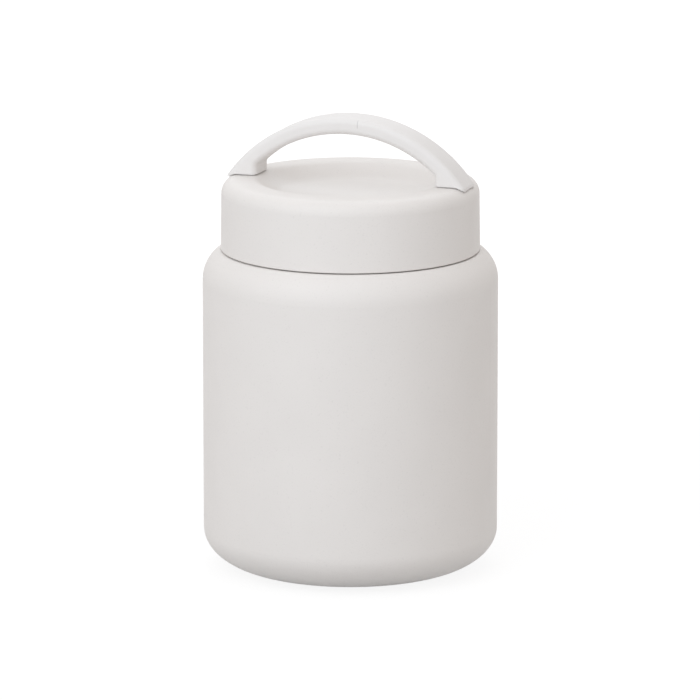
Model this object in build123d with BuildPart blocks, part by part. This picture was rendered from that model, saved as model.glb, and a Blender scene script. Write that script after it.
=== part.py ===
from build123d import *
from math import cos, radians, sin, sqrt
import os

os.makedirs("parts", exist_ok=True)

# Insulated food jar: a vacuum-walled steel jar with a wide mouth, and a screw lid with a fixed
# arched carrying handle. Origin at the centre of the base, +Z up the jar's axis. The handle
# spans along X. All sizes are in millimetres.

# ---------------------------------------------------------------- driving dimensions
# Jar body
BODY_RADIUS = 48.0
BASE_CORNER_OUT = 18.6          # the base corner is a quarter ellipse, wider than it is tall
BASE_CORNER_UP = 12.8
SHOULDER_ARC = 11.3
SHOULDER_START = 95.6           # height where the straight wall ends
LEDGE_HEIGHT = 105.2            # flat ledge that the lid closes down to
LEDGE_BEND = 1.4
NECK_BEND = 0.8
MOUTH_HEIGHT = 119.3
SHELL_WALL = 0.7
LINER_WALL = 0.5
LIP_THICKNESS = 0.8             # the liner's lip, rolled out over the end of the neck
LIP_ROUNDING = 0.35
NECK_RADIUS = 37.3              # outside of the steel neck, at the root of the thread
MOUTH_RADIUS = 35.6             # clear inside of the mouth
CAVITY_RADIUS = 42.5
CAVITY_FLOOR = 9.1
FLOOR_BEND = 11.0
LINER_NECK_LOW = 101.5          # the liner flares out between these two heights
LINER_SHOULDER_LOW = 94.6
LINER_NECK_BEND = 3.0
LINER_SHOULDER_BEND = 8.0

# Screw thread: three starts with a long lead, so the lid opens in about a third of a turn
THREAD_STARTS = 3
THREAD_LEAD = 24.0
THREAD_DEPTH = 1.0
THREAD_ROOT_WIDTH = 2.6
THREAD_CREST_WIDTH = 1.4
THREAD_BITE = 0.4               # how far a ridge's root is buried in the wall that carries it
THREAD_PLAY = 0.35              # gap between the flanks of the two threads, along the axis
NECK_THREAD_HEIGHT = 109.0      # centre of each neck ridge at its low end
NECK_THREAD_SPAN = 108.0
LID_THREAD_SPAN = 72.0
LID_THREAD_LEAD_IN = 12.0       # a lid ridge starts this far round from the neck ridge's low end
RUN_OUT = 11.0                  # angle over which the end of a ridge fades into its wall
RIDGE_CUT = 5.0                 # depth of the cut that makes the fading end

# Lid
LID_RADIUS_LOW = 42.1
LID_RADIUS_HIGH = 41.8
LID_BOTTOM = 105.55
LID_TOP = 128.4
LID_CORNER = 4.6
LID_SIDE_WALL = 1.95
LID_TOP_WALL = 2.0
DISH_EDGE_RADIUS = 30.2
DISH_FLOOR_RADIUS = 22.5
DISH_DEPTH = 4.3
DISH_EDGE_BEND = 5.0
DISH_FLOOR_BEND = 8.0
LID_EDGE_ROUNDING = 0.4
SKIRT_RADIUS = 38.7             # inside of the threaded skirt
SKIRT_RECESS = 0.45             # the skirt ends this far above the lid's bottom edge
CEILING_HEIGHT = 120.9          # underside of the inner cap, above the mouth
CEILING_WALL = 1.5
PLUG_RADIUS = 34.8
PLUG_WALL = 1.5
PLUG_BOTTOM = 100.1
PLUG_EDGE = 1.5
GROOVE_DEPTH = 0.7
GROOVE_CLEARANCE = 0.1          # the groove starts this far above the mouth
GASKET_HEIGHT = 1.06
GASKET_ROUNDING = 0.4
GASKET_PLAY_INSIDE = 0.25
GASKET_PLAY_OUTSIDE = 0.4
FOAM_CLEARANCE = 0.5

# Handle: a band bent to an arch
HANDLE_WIDTH = 12.8
HANDLE_TOP = 149.2
HANDLE_OUTER_ARC = 49.7
HANDLE_INNER_ARC = 45.2
HANDLE_UNDERSIDE = 143.8
FOOT_INNER = 30.4
FOOT_OUTER = 40.6
FOOT_END_BEND = 2.0
FOOT_INNER_BEND = 1.6
HANDLE_ROUNDING = 1.9
FOOT_SHADOW_GAP = 0.45
FOOT_SEAT_INSET = 0.9           # the seat stands back this far from the foot's edge
FOOT_BLANK_LOW = 118.0          # the feet are cut to the lid's form from a longer blank
BLANK_MARGIN = 1.0

# Handle fixing
SCREW_X = 34.5
BOSS_RADIUS = 2.0
SCREW_RADIUS = 1.3
SCREW_CORE = 1.0
SCREW_TIP = 132.4
SCREW_PITCH = 1.0
SCREW_HEAD_RADIUS = 2.2
SCREW_HEAD_HEIGHT = 1.6
SCREW_HEAD_ROUNDING = 0.8
SCREW_SLOT = 0.6
SCREW_SLOT_DEPTH = 0.96
WASHER_RADIUS = 2.4
WASHER_THICKNESS = 0.5
POCKET_RADIUS = 3.1             # room in the foam round each screw head

# Base
SHELL_FOOT_HEIGHT = 0.3         # the steel rim stands clear of the table on the pad
FLANGE_RADIUS = 27.0
FLANGE_TOP = 4.4
PAN_HEIGHT = 3.6
PAN_WALL = 0.6
PAN_BEND = 0.84
PAN_CLEARANCE = 0.2             # between the pan's flange and the cover's skirt
COVER_WALL = 0.5
COVER_BEND = 0.8
COVER_SKIRT_TOP = 2.8
COVER_BOTTOM = 1.1
PAD_RADIUS = 25.2
PAD_ROUNDING = 0.5
PAD_GROOVES = (8.0, 16.0)
PAD_GROOVE_WIDTH = 1.2
PAD_GROOVE_DEPTH = 0.4
FIT = 0.05                      # gap in glued, pressed and welded fits within one body

# Inside the vacuum wall
INNER_JOINT_HEIGHT = 22.0       # where the liner's tube is welded to its pressed bottom
FOIL_THICKNESS = 0.15
FOIL_LOW = 25.0
FOIL_HIGH = 88.0
GETTER_X = 13.0
GETTER_RADIUS = 3.6
GETTER_HEIGHT = 1.6
GETTER_CUP_WALL = 0.3
GETTER_CUP_HEIGHT = 1.2
GETTER_TAB_LENGTH = 3.0
GETTER_TAB_WIDTH = 2.4
PORT_RADIUS = 1.0
DIMPLE_RADIUS = 3.4
DIMPLE_DEPTH = 0.9
DIMPLE_BEND = 0.3
BEAD_RADIUS = 2.4
BEAD_THICKNESS = 0.6
BEAD_ROUNDING = 0.48

# ---------------------------------------------------------------- derived dimensions
BASE_FLAT_RADIUS = BODY_RADIUS - BASE_CORNER_OUT
SHOULDER_CENTRE = BODY_RADIUS - SHOULDER_ARC
WALL_START = SHELL_FOOT_HEIGHT + BASE_CORNER_UP
THREAD_CREST = NECK_RADIUS + THREAD_DEPTH
LID_THREAD_CREST = SKIRT_RADIUS - THREAD_DEPTH
FLANK_SLOPE = (THREAD_ROOT_WIDTH - THREAD_CREST_WIDTH) / 2 / THREAD_DEPTH
OVERLAP = THREAD_CREST - LID_THREAD_CREST
# axial distance from a neck ridge's centre down to the lid ridge that hooks under it
THREAD_DROP = THREAD_CREST_WIDTH + FLANK_SLOPE * OVERLAP + THREAD_PLAY
LID_INNER_RADIUS = LID_RADIUS_LOW - LID_SIDE_WALL
LID_UNDERSIDE = LID_TOP - LID_TOP_WALL
INNER_CORNER = LID_CORNER - LID_TOP_WALL
DISH_FLOOR = LID_TOP - DISH_DEPTH
CEILING_TOP = CEILING_HEIGHT + CEILING_WALL
LINER_RADIUS = LID_INNER_RADIUS - FIT
LIP_HEIGHT = MOUTH_HEIGHT - LIP_THICKNESS
LINER_OUTSIDE = CAVITY_RADIUS + LINER_WALL
HANDLE_OUTER_CENTRE = HANDLE_TOP - HANDLE_OUTER_ARC
HANDLE_INNER_CENTRE = HANDLE_UNDERSIDE - HANDLE_INNER_ARC


def circle_height(centre, radius, across):
    """Height on a circle's upper half, at a distance across from its centre line."""
    return centre + sqrt(radius**2 - across**2)


def circle_reach(centre, radius, height):
    """Distance from the centre line to a circle's outer half, at a height."""
    return sqrt(radius**2 - (height - centre) ** 2)


def bend(corner, radius):
    """Round the corner of the open sketch that lies nearest to a point."""
    fillet(vertices().sort_by_distance(Vector(*corner))[0], radius)


def pressed_sheet(points, bends, thickness):
    """Section of a pressed sheet: its line, rounded at the bends and thickened to the left."""
    with BuildSketch(Plane.XZ) as section:
        with BuildLine():
            FilletPolyline(*points, radius=bends)
            offset(amount=thickness, side=Side.LEFT, closed=True)
        make_face()
    return section.sketch


def thread_ridge(root, crest, height, span):
    """One helical ridge that starts at +X and climbs counter-clockwise. Its ends fade out."""
    outward = 1 if crest > root else -1
    with BuildPart() as ridge:
        with BuildLine() as path:
            Helix(
                pitch=THREAD_LEAD,
                height=THREAD_LEAD * span / 360,
                radius=root,
                center=(0, 0, height),
            )
        with BuildSketch(Plane(origin=path.line @ 0, x_dir=(1, 0, 0), z_dir=path.line % 0)):
            with BuildLine():
                Polyline(
                    (-outward * THREAD_BITE, -THREAD_ROOT_WIDTH / 2),
                    (0, -THREAD_ROOT_WIDTH / 2),
                    (outward * THREAD_DEPTH, -THREAD_CREST_WIDTH / 2),
                    (outward * THREAD_DEPTH, THREAD_CREST_WIDTH / 2),
                    (0, THREAD_ROOT_WIDTH / 2),
                    (-outward * THREAD_BITE, THREAD_ROOT_WIDTH / 2),
                    close=True,
                )
            make_face()
        sweep(path=path.line, is_frenet=True)
        for end_angle, way in ((0, 1), (span, -1)):
            root_angle = radians(end_angle)
            crest_angle = radians(end_angle + way * RUN_OUT)
            low = Vector(root * cos(root_angle), root * sin(root_angle), 0)
            high = Vector(crest * cos(crest_angle), crest * sin(crest_angle), 0)
            ramp = high - low
            waste_side = ramp.normalized().cross(Vector(0, 0, 1))
            if waste_side.dot(low) * outward < 0:
                waste_side = waste_side * -1
            with BuildSketch(Plane(origin=low, x_dir=ramp.normalized(), z_dir=waste_side)):
                Rectangle(2 * ramp.length, 2 * LID_TOP)
            extrude(amount=RIDGE_CUT, mode=Mode.SUBTRACT)
    return ridge.part


# ---------------------------------------------------------------- outer shell
# Drawn steel wall with the base corner, the shoulder, the ledge and the threaded neck.
# A flange turned up inside the base takes the welded pan.
base_centre = (BASE_FLAT_RADIUS, WALL_START)
ledge_reach = SHOULDER_CENTRE + circle_reach(SHOULDER_START, SHOULDER_ARC, LEDGE_HEIGHT)
inner_arc = SHOULDER_ARC - SHELL_WALL
inner_ledge = LEDGE_HEIGHT - SHELL_WALL
inner_reach = SHOULDER_CENTRE + circle_reach(SHOULDER_START, inner_arc, inner_ledge)
neck_inside = NECK_RADIUS - SHELL_WALL
neck_ridge = thread_ridge(NECK_RADIUS, THREAD_CREST, NECK_THREAD_HEIGHT, NECK_THREAD_SPAN)

with BuildPart() as outer_shell:
    with BuildSketch(Plane.XZ):
        with BuildLine():
            EllipticalCenterArc(
                base_centre, BASE_CORNER_OUT, BASE_CORNER_UP, start_angle=270, arc_size=90
            )
            Line((BODY_RADIUS, WALL_START), (BODY_RADIUS, SHOULDER_START))
            RadiusArc((BODY_RADIUS, SHOULDER_START), (ledge_reach, LEDGE_HEIGHT), -SHOULDER_ARC)
            Polyline(
                (ledge_reach, LEDGE_HEIGHT),
                (NECK_RADIUS, LEDGE_HEIGHT),
                (NECK_RADIUS, LIP_HEIGHT),
                (neck_inside, LIP_HEIGHT),
                (neck_inside, inner_ledge),
                (inner_reach, inner_ledge),
            )
            RadiusArc(
                (inner_reach, inner_ledge), (BODY_RADIUS - SHELL_WALL, SHOULDER_START), inner_arc
            )
            Line((BODY_RADIUS - SHELL_WALL, SHOULDER_START), (BODY_RADIUS - SHELL_WALL, WALL_START))
            EllipticalCenterArc(
                base_centre,
                BASE_CORNER_OUT - SHELL_WALL,
                BASE_CORNER_UP - SHELL_WALL,
                start_angle=270,
                arc_size=90,
            )
            Polyline(
                (BASE_FLAT_RADIUS, SHELL_FOOT_HEIGHT + SHELL_WALL),
                (FLANGE_RADIUS + SHELL_WALL, SHELL_FOOT_HEIGHT + SHELL_WALL),
                (FLANGE_RADIUS + SHELL_WALL, FLANGE_TOP),
                (FLANGE_RADIUS, FLANGE_TOP),
                (FLANGE_RADIUS, SHELL_FOOT_HEIGHT),
                (BASE_FLAT_RADIUS, SHELL_FOOT_HEIGHT),
            )
        make_face()
        bend((ledge_reach, LEDGE_HEIGHT), LEDGE_BEND)
        bend((NECK_RADIUS, LEDGE_HEIGHT), NECK_BEND)
        bend((neck_inside, inner_ledge), NECK_BEND + SHELL_WALL)
        bend((FLANGE_RADIUS, SHELL_FOOT_HEIGHT), SHELL_WALL)
    revolve(axis=Axis.Z)
    with PolarLocations(0, THREAD_STARTS):
        add(neck_ridge)
outer_shell.part.label = "outer_shell"
export_step(outer_shell.part, "parts/outer_shell.step")

# ---------------------------------------------------------------- liner
# The food side of the vacuum wall: a tube with a flared shoulder and a rolled lip, and a
# pressed bottom welded to it.
with BuildPart() as inner_wall:
    add(
        pressed_sheet(
            [
                (MOUTH_RADIUS, LIP_HEIGHT),
                (MOUTH_RADIUS, LINER_NECK_LOW),
                (CAVITY_RADIUS, LINER_SHOULDER_LOW),
                (CAVITY_RADIUS, INNER_JOINT_HEIGHT),
            ],
            [LINER_NECK_BEND, LINER_SHOULDER_BEND],
            LINER_WALL,
        )
    )
    revolve(axis=Axis.Z)
    with BuildSketch(Plane.XZ):
        with BuildLine():
            Polyline(
                (MOUTH_RADIUS, LIP_HEIGHT),
                (NECK_RADIUS, LIP_HEIGHT),
                (NECK_RADIUS, MOUTH_HEIGHT),
                (MOUTH_RADIUS, MOUTH_HEIGHT),
                close=True,
            )
        make_face()
        bend((NECK_RADIUS, MOUTH_HEIGHT), LIP_ROUNDING)
        bend((MOUTH_RADIUS, MOUTH_HEIGHT), LIP_ROUNDING)
    revolve(axis=Axis.Z)
inner_wall.part.label = "inner_wall"
export_step(inner_wall.part, "parts/inner_wall.step")

with BuildPart() as inner_bottom:
    add(
        pressed_sheet(
            [
                (CAVITY_RADIUS, INNER_JOINT_HEIGHT),
                (CAVITY_RADIUS, CAVITY_FLOOR),
                (0, CAVITY_FLOOR),
            ],
            [FLOOR_BEND],
            -LINER_WALL,
        )
    )
    revolve(axis=Axis.Z)
inner_bottom.part.label = "inner_bottom"
export_step(inner_bottom.part, "parts/inner_bottom.step")

# ---------------------------------------------------------------- vacuum bottom of the shell
# A pan welded into the shell's flange. Its central dimple has the port through which the air
# was drawn off, closed by a bead of solder glass.
pan_radius = FLANGE_RADIUS - FIT - PAN_WALL
port_height = PAN_HEIGHT + DIMPLE_DEPTH

with BuildPart() as base_pan:
    add(
        pressed_sheet(
            [
                (PORT_RADIUS, port_height),
                (DIMPLE_RADIUS, port_height),
                (DIMPLE_RADIUS + DIMPLE_DEPTH / 2, PAN_HEIGHT),
                (pan_radius, PAN_HEIGHT),
                (pan_radius, COVER_SKIRT_TOP + PAN_CLEARANCE),
            ],
            [DIMPLE_BEND, PAN_BEND, DIMPLE_BEND],
            PAN_WALL,
        )
    )
    revolve(axis=Axis.Z)
base_pan.part.label = "base_pan"
export_step(base_pan.part, "parts/base_pan.step")

with BuildPart() as vacuum_plug:
    with BuildSketch(Plane.XY.offset(port_height)):
        Circle(PORT_RADIUS - FIT)
    extrude(amount=PAN_WALL)
    with BuildSketch(Plane.XY.offset(port_height)):
        Circle(BEAD_RADIUS)
    extrude(amount=-BEAD_THICKNESS)
    fillet(edges().group_by(Axis.Z)[0], BEAD_ROUNDING)
vacuum_plug.part.label = "vacuum_plug"
export_step(vacuum_plug.part, "parts/vacuum_plug.step")

# ---------------------------------------------------------------- base trim
# A steel cover pressed into the flange under the pan, and the soft pad glued to it, on which
# the jar stands.
with BuildPart() as base_cover:
    add(
        pressed_sheet(
            [
                (0, COVER_BOTTOM),
                (FLANGE_RADIUS - FIT, COVER_BOTTOM),
                (FLANGE_RADIUS - FIT, COVER_SKIRT_TOP),
            ],
            [COVER_BEND],
            COVER_WALL,
        )
    )
    revolve(axis=Axis.Z)
base_cover.part.label = "base_cover"
export_step(base_cover.part, "parts/base_cover.step")

with BuildPart() as base_pad:
    Cylinder(PAD_RADIUS, COVER_BOTTOM, align=(Align.CENTER, Align.CENTER, Align.MIN))
    fillet(edges().group_by(Axis.Z)[0], PAD_ROUNDING)
    with BuildSketch(Plane.XY):
        for groove_radius in PAD_GROOVES:
            Circle(groove_radius + PAD_GROOVE_WIDTH / 2)
            Circle(groove_radius - PAD_GROOVE_WIDTH / 2, mode=Mode.SUBTRACT)
    extrude(amount=PAD_GROOVE_DEPTH, mode=Mode.SUBTRACT)
base_pad.part.label = "base_pad"
export_step(base_pad.part, "parts/base_pad.step")

# ---------------------------------------------------------------- inside the vacuum
# Copper foil wrapped round the liner keeps radiated heat in. The getter, a porous metal
# pellet, soaks up the last of the gas, and sits in a cup spot-welded to the pan.
with BuildPart() as copper_foil:
    with BuildSketch(Plane.XY.offset(FOIL_LOW)):
        Circle(LINER_OUTSIDE + FIT + FOIL_THICKNESS)
        Circle(LINER_OUTSIDE + FIT, mode=Mode.SUBTRACT)
    extrude(amount=FOIL_HIGH - FOIL_LOW)
copper_foil.part.label = "copper_foil"
export_step(copper_foil.part, "parts/copper_foil.step")

getter_floor = PAN_HEIGHT + PAN_WALL
cup_radius = GETTER_RADIUS + FIT + GETTER_CUP_WALL
with BuildPart() as getter_cup:
    with BuildSketch(Plane.XY.offset(getter_floor)):
        with Locations((GETTER_X, 0)):
            Circle(cup_radius)
            Rectangle(GETTER_TAB_WIDTH, 2 * (cup_radius + GETTER_TAB_LENGTH))
    extrude(amount=GETTER_CUP_WALL)
    with BuildSketch(Plane.XY.offset(getter_floor)):
        with Locations((GETTER_X, 0)):
            Circle(cup_radius)
    extrude(amount=GETTER_CUP_HEIGHT)
    with BuildSketch(Plane.XY.offset(getter_floor + GETTER_CUP_WALL)):
        with Locations((GETTER_X, 0)):
            Circle(GETTER_RADIUS + FIT)
    extrude(amount=GETTER_CUP_HEIGHT, mode=Mode.SUBTRACT)
getter_cup.part.label = "getter_cup"
export_step(getter_cup.part, "parts/getter_cup.step")

with BuildPart() as getter:
    with BuildSketch(Plane.XY.offset(getter_floor + GETTER_CUP_WALL)):
        with Locations((GETTER_X, 0)):
            Circle(GETTER_RADIUS)
    extrude(amount=GETTER_HEIGHT)
    chamfer(edges().group_by(Axis.Z)[-1], GETTER_CUP_WALL)
getter.part.label = "getter"
export_step(getter.part, "parts/getter.step")

# ---------------------------------------------------------------- lid shell
# The visible cap: a straight side, a rounded corner, a flat rim and a shallow dish. Two holes
# in the rim take the bosses of the handle.
slope_run = DISH_EDGE_RADIUS - DISH_FLOOR_RADIUS
slope_length = sqrt(slope_run**2 + DISH_DEPTH**2)
# how far the corners of the underside stand out from those of the top, along the radius
underside_shift = LID_TOP_WALL * (slope_length - slope_run) / DISH_DEPTH
with BuildPart() as lid_shell:
    with BuildSketch(Plane.XZ):
        with BuildLine():
            Polyline(
                (LID_INNER_RADIUS, LID_BOTTOM),
                (LID_RADIUS_LOW, LID_BOTTOM),
                (LID_RADIUS_HIGH, LID_TOP),
                (DISH_EDGE_RADIUS, LID_TOP),
                (DISH_FLOOR_RADIUS, DISH_FLOOR),
                (0, DISH_FLOOR),
                (0, DISH_FLOOR - LID_TOP_WALL),
                (DISH_FLOOR_RADIUS + underside_shift, DISH_FLOOR - LID_TOP_WALL),
                (DISH_EDGE_RADIUS + underside_shift, LID_UNDERSIDE),
                (LID_INNER_RADIUS, LID_UNDERSIDE),
                close=True,
            )
        make_face()
        bend((LID_RADIUS_LOW, LID_BOTTOM), LID_EDGE_ROUNDING)
        bend((LID_RADIUS_HIGH, LID_TOP), LID_CORNER)
        bend((DISH_EDGE_RADIUS, LID_TOP), DISH_EDGE_BEND)
        bend((DISH_FLOOR_RADIUS, DISH_FLOOR), DISH_FLOOR_BEND)
        bend(
            (DISH_FLOOR_RADIUS + underside_shift, DISH_FLOOR - LID_TOP_WALL),
            DISH_FLOOR_BEND + LID_TOP_WALL,
        )
        bend((DISH_EDGE_RADIUS + underside_shift, LID_UNDERSIDE), DISH_EDGE_BEND - LID_TOP_WALL)
        bend((LID_INNER_RADIUS, LID_UNDERSIDE), INNER_CORNER)
    revolve(axis=Axis.Z)
    with BuildSketch(Plane.XY.offset(LID_UNDERSIDE)):
        with Locations((SCREW_X, 0), (-SCREW_X, 0)):
            Circle(BOSS_RADIUS + FIT)
    extrude(amount=LID_TOP_WALL, mode=Mode.SUBTRACT)
lid_shell.part.label = "lid_shell"
export_step(lid_shell.part, "parts/lid_shell.step")

# ---------------------------------------------------------------- inner cap
# One moulding: the threaded skirt, the ceiling over the mouth, and the hollow plug. A groove
# under the ceiling holds the gasket.
skirt_bottom = LID_BOTTOM + SKIRT_RECESS
groove_bottom = MOUTH_HEIGHT + GROOVE_CLEARANCE

lid_ridge = thread_ridge(
    SKIRT_RADIUS,
    LID_THREAD_CREST,
    NECK_THREAD_HEIGHT + THREAD_LEAD * LID_THREAD_LEAD_IN / 360 - THREAD_DROP,
    LID_THREAD_SPAN,
)

with BuildPart() as lid_liner:
    with BuildSketch(Plane.XZ):
        with BuildLine():
            Polyline(
                (0, PLUG_BOTTOM),
                (PLUG_RADIUS, PLUG_BOTTOM),
                (PLUG_RADIUS, groove_bottom),
                (PLUG_RADIUS - GROOVE_DEPTH, groove_bottom),
                (PLUG_RADIUS - GROOVE_DEPTH, CEILING_HEIGHT),
                (SKIRT_RADIUS, CEILING_HEIGHT),
                (SKIRT_RADIUS, skirt_bottom),
                (LINER_RADIUS, skirt_bottom),
                (LINER_RADIUS, CEILING_TOP),
                (PLUG_RADIUS - PLUG_WALL, CEILING_TOP),
                (PLUG_RADIUS - PLUG_WALL, PLUG_BOTTOM + PLUG_WALL),
                (0, PLUG_BOTTOM + PLUG_WALL),
                close=True,
            )
        make_face()
        bend((PLUG_RADIUS, PLUG_BOTTOM), PLUG_EDGE)
        bend((LINER_RADIUS, CEILING_TOP), LID_EDGE_ROUNDING)
    revolve(axis=Axis.Z)
    with PolarLocations(0, THREAD_STARTS, start_angle=LID_THREAD_LEAD_IN):
        add(lid_ridge)
lid_liner.part.label = "lid_liner"
export_step(lid_liner.part, "parts/lid_liner.step")

# ---------------------------------------------------------------- gasket
# A silicone ring caught in the groove of the plug. It closes down on the rolled lip.
gasket_inside = PLUG_RADIUS - GROOVE_DEPTH + GASKET_PLAY_INSIDE
gasket_outside = SKIRT_RADIUS - GASKET_PLAY_OUTSIDE
gasket_middle = (groove_bottom + CEILING_HEIGHT) / 2
with BuildPart() as lid_gasket:
    with BuildSketch(Plane.XZ):
        with Locations(((gasket_inside + gasket_outside) / 2, gasket_middle)):
            RectangleRounded(gasket_outside - gasket_inside, GASKET_HEIGHT, GASKET_ROUNDING)
    revolve(axis=Axis.Z)
lid_gasket.part.label = "lid_gasket"
export_step(lid_gasket.part, "parts/lid_gasket.step")

# ---------------------------------------------------------------- foam in the lid
# It fills the plug and the space under the lid shell, with a pocket round each screw head.
foam_radius = LID_INNER_RADIUS - FOAM_CLEARANCE
with BuildPart() as lid_foam:
    with BuildSketch(Plane.XZ):
        with BuildLine():
            Polyline(
                (0, PLUG_BOTTOM + PLUG_WALL + FIT),
                (PLUG_RADIUS - PLUG_WALL - FIT, PLUG_BOTTOM + PLUG_WALL + FIT),
                (PLUG_RADIUS - PLUG_WALL - FIT, CEILING_TOP + FIT),
                (foam_radius, CEILING_TOP + FIT),
                (foam_radius, LID_UNDERSIDE - FIT),
                (DISH_EDGE_RADIUS + underside_shift, LID_UNDERSIDE - FIT),
                (DISH_FLOOR_RADIUS + underside_shift, DISH_FLOOR - LID_TOP_WALL - FIT),
                (0, DISH_FLOOR - LID_TOP_WALL - FIT),
                close=True,
            )
        make_face()
        bend((foam_radius, LID_UNDERSIDE - FIT), INNER_CORNER)
        bend((DISH_EDGE_RADIUS + underside_shift, LID_UNDERSIDE - FIT), DISH_EDGE_BEND - LID_TOP_WALL)
    revolve(axis=Axis.Z)
    with BuildSketch(Plane.XY.offset(CEILING_TOP)):
        with Locations((SCREW_X, 0), (-SCREW_X, 0)):
            Circle(POCKET_RADIUS)
    extrude(amount=LID_UNDERSIDE - CEILING_TOP, mode=Mode.SUBTRACT)
lid_foam.part.label = "lid_foam"
export_step(lid_foam.part, "parts/lid_foam.step")

# ---------------------------------------------------------------- handle
# A band bent to an arch. Its feet follow the rim and the rounded corner of the lid. Each one
# sits on the lid with its middle, and a fine shadow gap runs round its edge. A boss under it
# goes through the lid shell.
def lid_form(gap):
    """A solid with the lid's outside, grown by a gap."""
    with BuildPart() as form:
        with BuildSketch(Plane.XZ):
            with BuildLine():
                Polyline(
                    (0, FOOT_BLANK_LOW - BLANK_MARGIN),
                    (LID_RADIUS_LOW + gap, FOOT_BLANK_LOW - BLANK_MARGIN),
                    (LID_RADIUS_HIGH + gap, LID_TOP + gap),
                    (0, LID_TOP + gap),
                    close=True,
                )
            make_face()
            bend((LID_RADIUS_HIGH + gap, LID_TOP + gap), LID_CORNER + gap)
        revolve(axis=Axis.Z)
    return form.part


foot_middle = (FOOT_OUTER + FOOT_INNER) / 2
seat_length = FOOT_OUTER - FOOT_INNER - 2 * FOOT_SEAT_INSET
seat_width = HANDLE_WIDTH - 2 * FOOT_SEAT_INSET

with BuildPart() as shadow_gap:
    add(lid_form(FOOT_SHADOW_GAP))
    with BuildSketch(Plane.XY.offset(FOOT_BLANK_LOW - BLANK_MARGIN)):
        with Locations((foot_middle, 0), (-foot_middle, 0)):
            Rectangle(seat_length, seat_width)
    extrude(amount=LID_TOP + BLANK_MARGIN - FOOT_BLANK_LOW + BLANK_MARGIN, mode=Mode.SUBTRACT)

end_height = circle_height(HANDLE_OUTER_CENTRE, HANDLE_OUTER_ARC, FOOT_OUTER)
inner_height = circle_height(HANDLE_INNER_CENTRE, HANDLE_INNER_ARC, FOOT_INNER)

with BuildPart() as handle:
    with BuildSketch(Plane.XZ):
        with BuildLine():
            ThreePointArc((-FOOT_OUTER, end_height), (0, HANDLE_TOP), (FOOT_OUTER, end_height))
            Polyline(
                (FOOT_OUTER, end_height),
                (FOOT_OUTER, FOOT_BLANK_LOW),
                (FOOT_INNER, FOOT_BLANK_LOW),
                (FOOT_INNER, inner_height),
            )
            ThreePointArc(
                (FOOT_INNER, inner_height), (0, HANDLE_UNDERSIDE), (-FOOT_INNER, inner_height)
            )
            Polyline(
                (-FOOT_INNER, inner_height),
                (-FOOT_INNER, FOOT_BLANK_LOW),
                (-FOOT_OUTER, FOOT_BLANK_LOW),
                (-FOOT_OUTER, end_height),
            )
        make_face()
        for side in (1, -1):
            bend((side * FOOT_OUTER, end_height), FOOT_END_BEND)
            bend((side * FOOT_INNER, inner_height), FOOT_INNER_BEND)
    extrude(amount=HANDLE_WIDTH / 2, both=True)
    rims = edges().filter_by_position(Axis.Z, FOOT_BLANK_LOW + BLANK_MARGIN, HANDLE_TOP)
    fillet(rims.group_by(Axis.Y)[0] + rims.group_by(Axis.Y)[-1], HANDLE_ROUNDING)
    add(lid_form(FIT), mode=Mode.SUBTRACT)
    add(shadow_gap.part, mode=Mode.SUBTRACT)
    with BuildSketch(Plane.XY.offset(LID_UNDERSIDE)):
        with Locations((SCREW_X, 0), (-SCREW_X, 0)):
            Circle(BOSS_RADIUS)
    extrude(amount=LID_TOP_WALL + 2 * FIT)
    with BuildSketch(Plane.XY.offset(LID_UNDERSIDE)):
        with Locations((SCREW_X, 0), (-SCREW_X, 0)):
            Circle(SCREW_RADIUS)
    extrude(amount=SCREW_TIP - LID_UNDERSIDE, mode=Mode.SUBTRACT)
handle.part.label = "handle"
export_step(handle.part, "parts/handle.step")

# ---------------------------------------------------------------- handle screws and washers
washer_bottom = LID_UNDERSIDE - WASHER_THICKNESS
head_bottom = washer_bottom - SCREW_HEAD_HEIGHT
thread_start = LID_UNDERSIDE + SCREW_PITCH / 2
turns = int((SCREW_TIP - SCREW_RADIUS - thread_start) / SCREW_PITCH)
thread_end = thread_start + turns * SCREW_PITCH
flank_points = []
for turn in range(turns):
    flank_points.append((SCREW_CORE, thread_start + turn * SCREW_PITCH))
    flank_points.append((SCREW_RADIUS, thread_start + (turn + 0.5) * SCREW_PITCH))

with BuildPart() as handle_washers:
    with BuildSketch(Plane.XY.offset(washer_bottom)):
        with Locations((SCREW_X, 0), (-SCREW_X, 0)):
            Circle(WASHER_RADIUS)
            Circle(SCREW_RADIUS, mode=Mode.SUBTRACT)
    extrude(amount=WASHER_THICKNESS)
handle_washers.part.label = "handle_washers"
export_step(handle_washers.part, "parts/handle_washers.step")

with BuildPart() as one_screw:
    with BuildSketch(Plane.XZ):
        with BuildLine():
            Polyline(
                (0, head_bottom),
                (SCREW_HEAD_RADIUS, head_bottom),
                (SCREW_HEAD_RADIUS, washer_bottom),
                (SCREW_CORE, washer_bottom),
                *flank_points,
                (SCREW_CORE, thread_end),
                (0, thread_end + SCREW_RADIUS),
                close=True,
            )
        make_face()
        bend((SCREW_HEAD_RADIUS, head_bottom), SCREW_HEAD_ROUNDING)
    revolve(axis=Axis.Z)
    with BuildSketch(Plane.XY.offset(head_bottom)):
        Rectangle(2 * SCREW_CORE + SCREW_SLOT, SCREW_SLOT)
        Rectangle(SCREW_SLOT, 2 * SCREW_CORE + SCREW_SLOT)
    extrude(amount=SCREW_SLOT_DEPTH, mode=Mode.SUBTRACT)

with BuildPart() as handle_screws:
    with Locations((SCREW_X, 0), (-SCREW_X, 0)):
        add(one_screw.part)
handle_screws.part.label = "handle_screws"
export_step(handle_screws.part, "parts/handle_screws.step")
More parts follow.
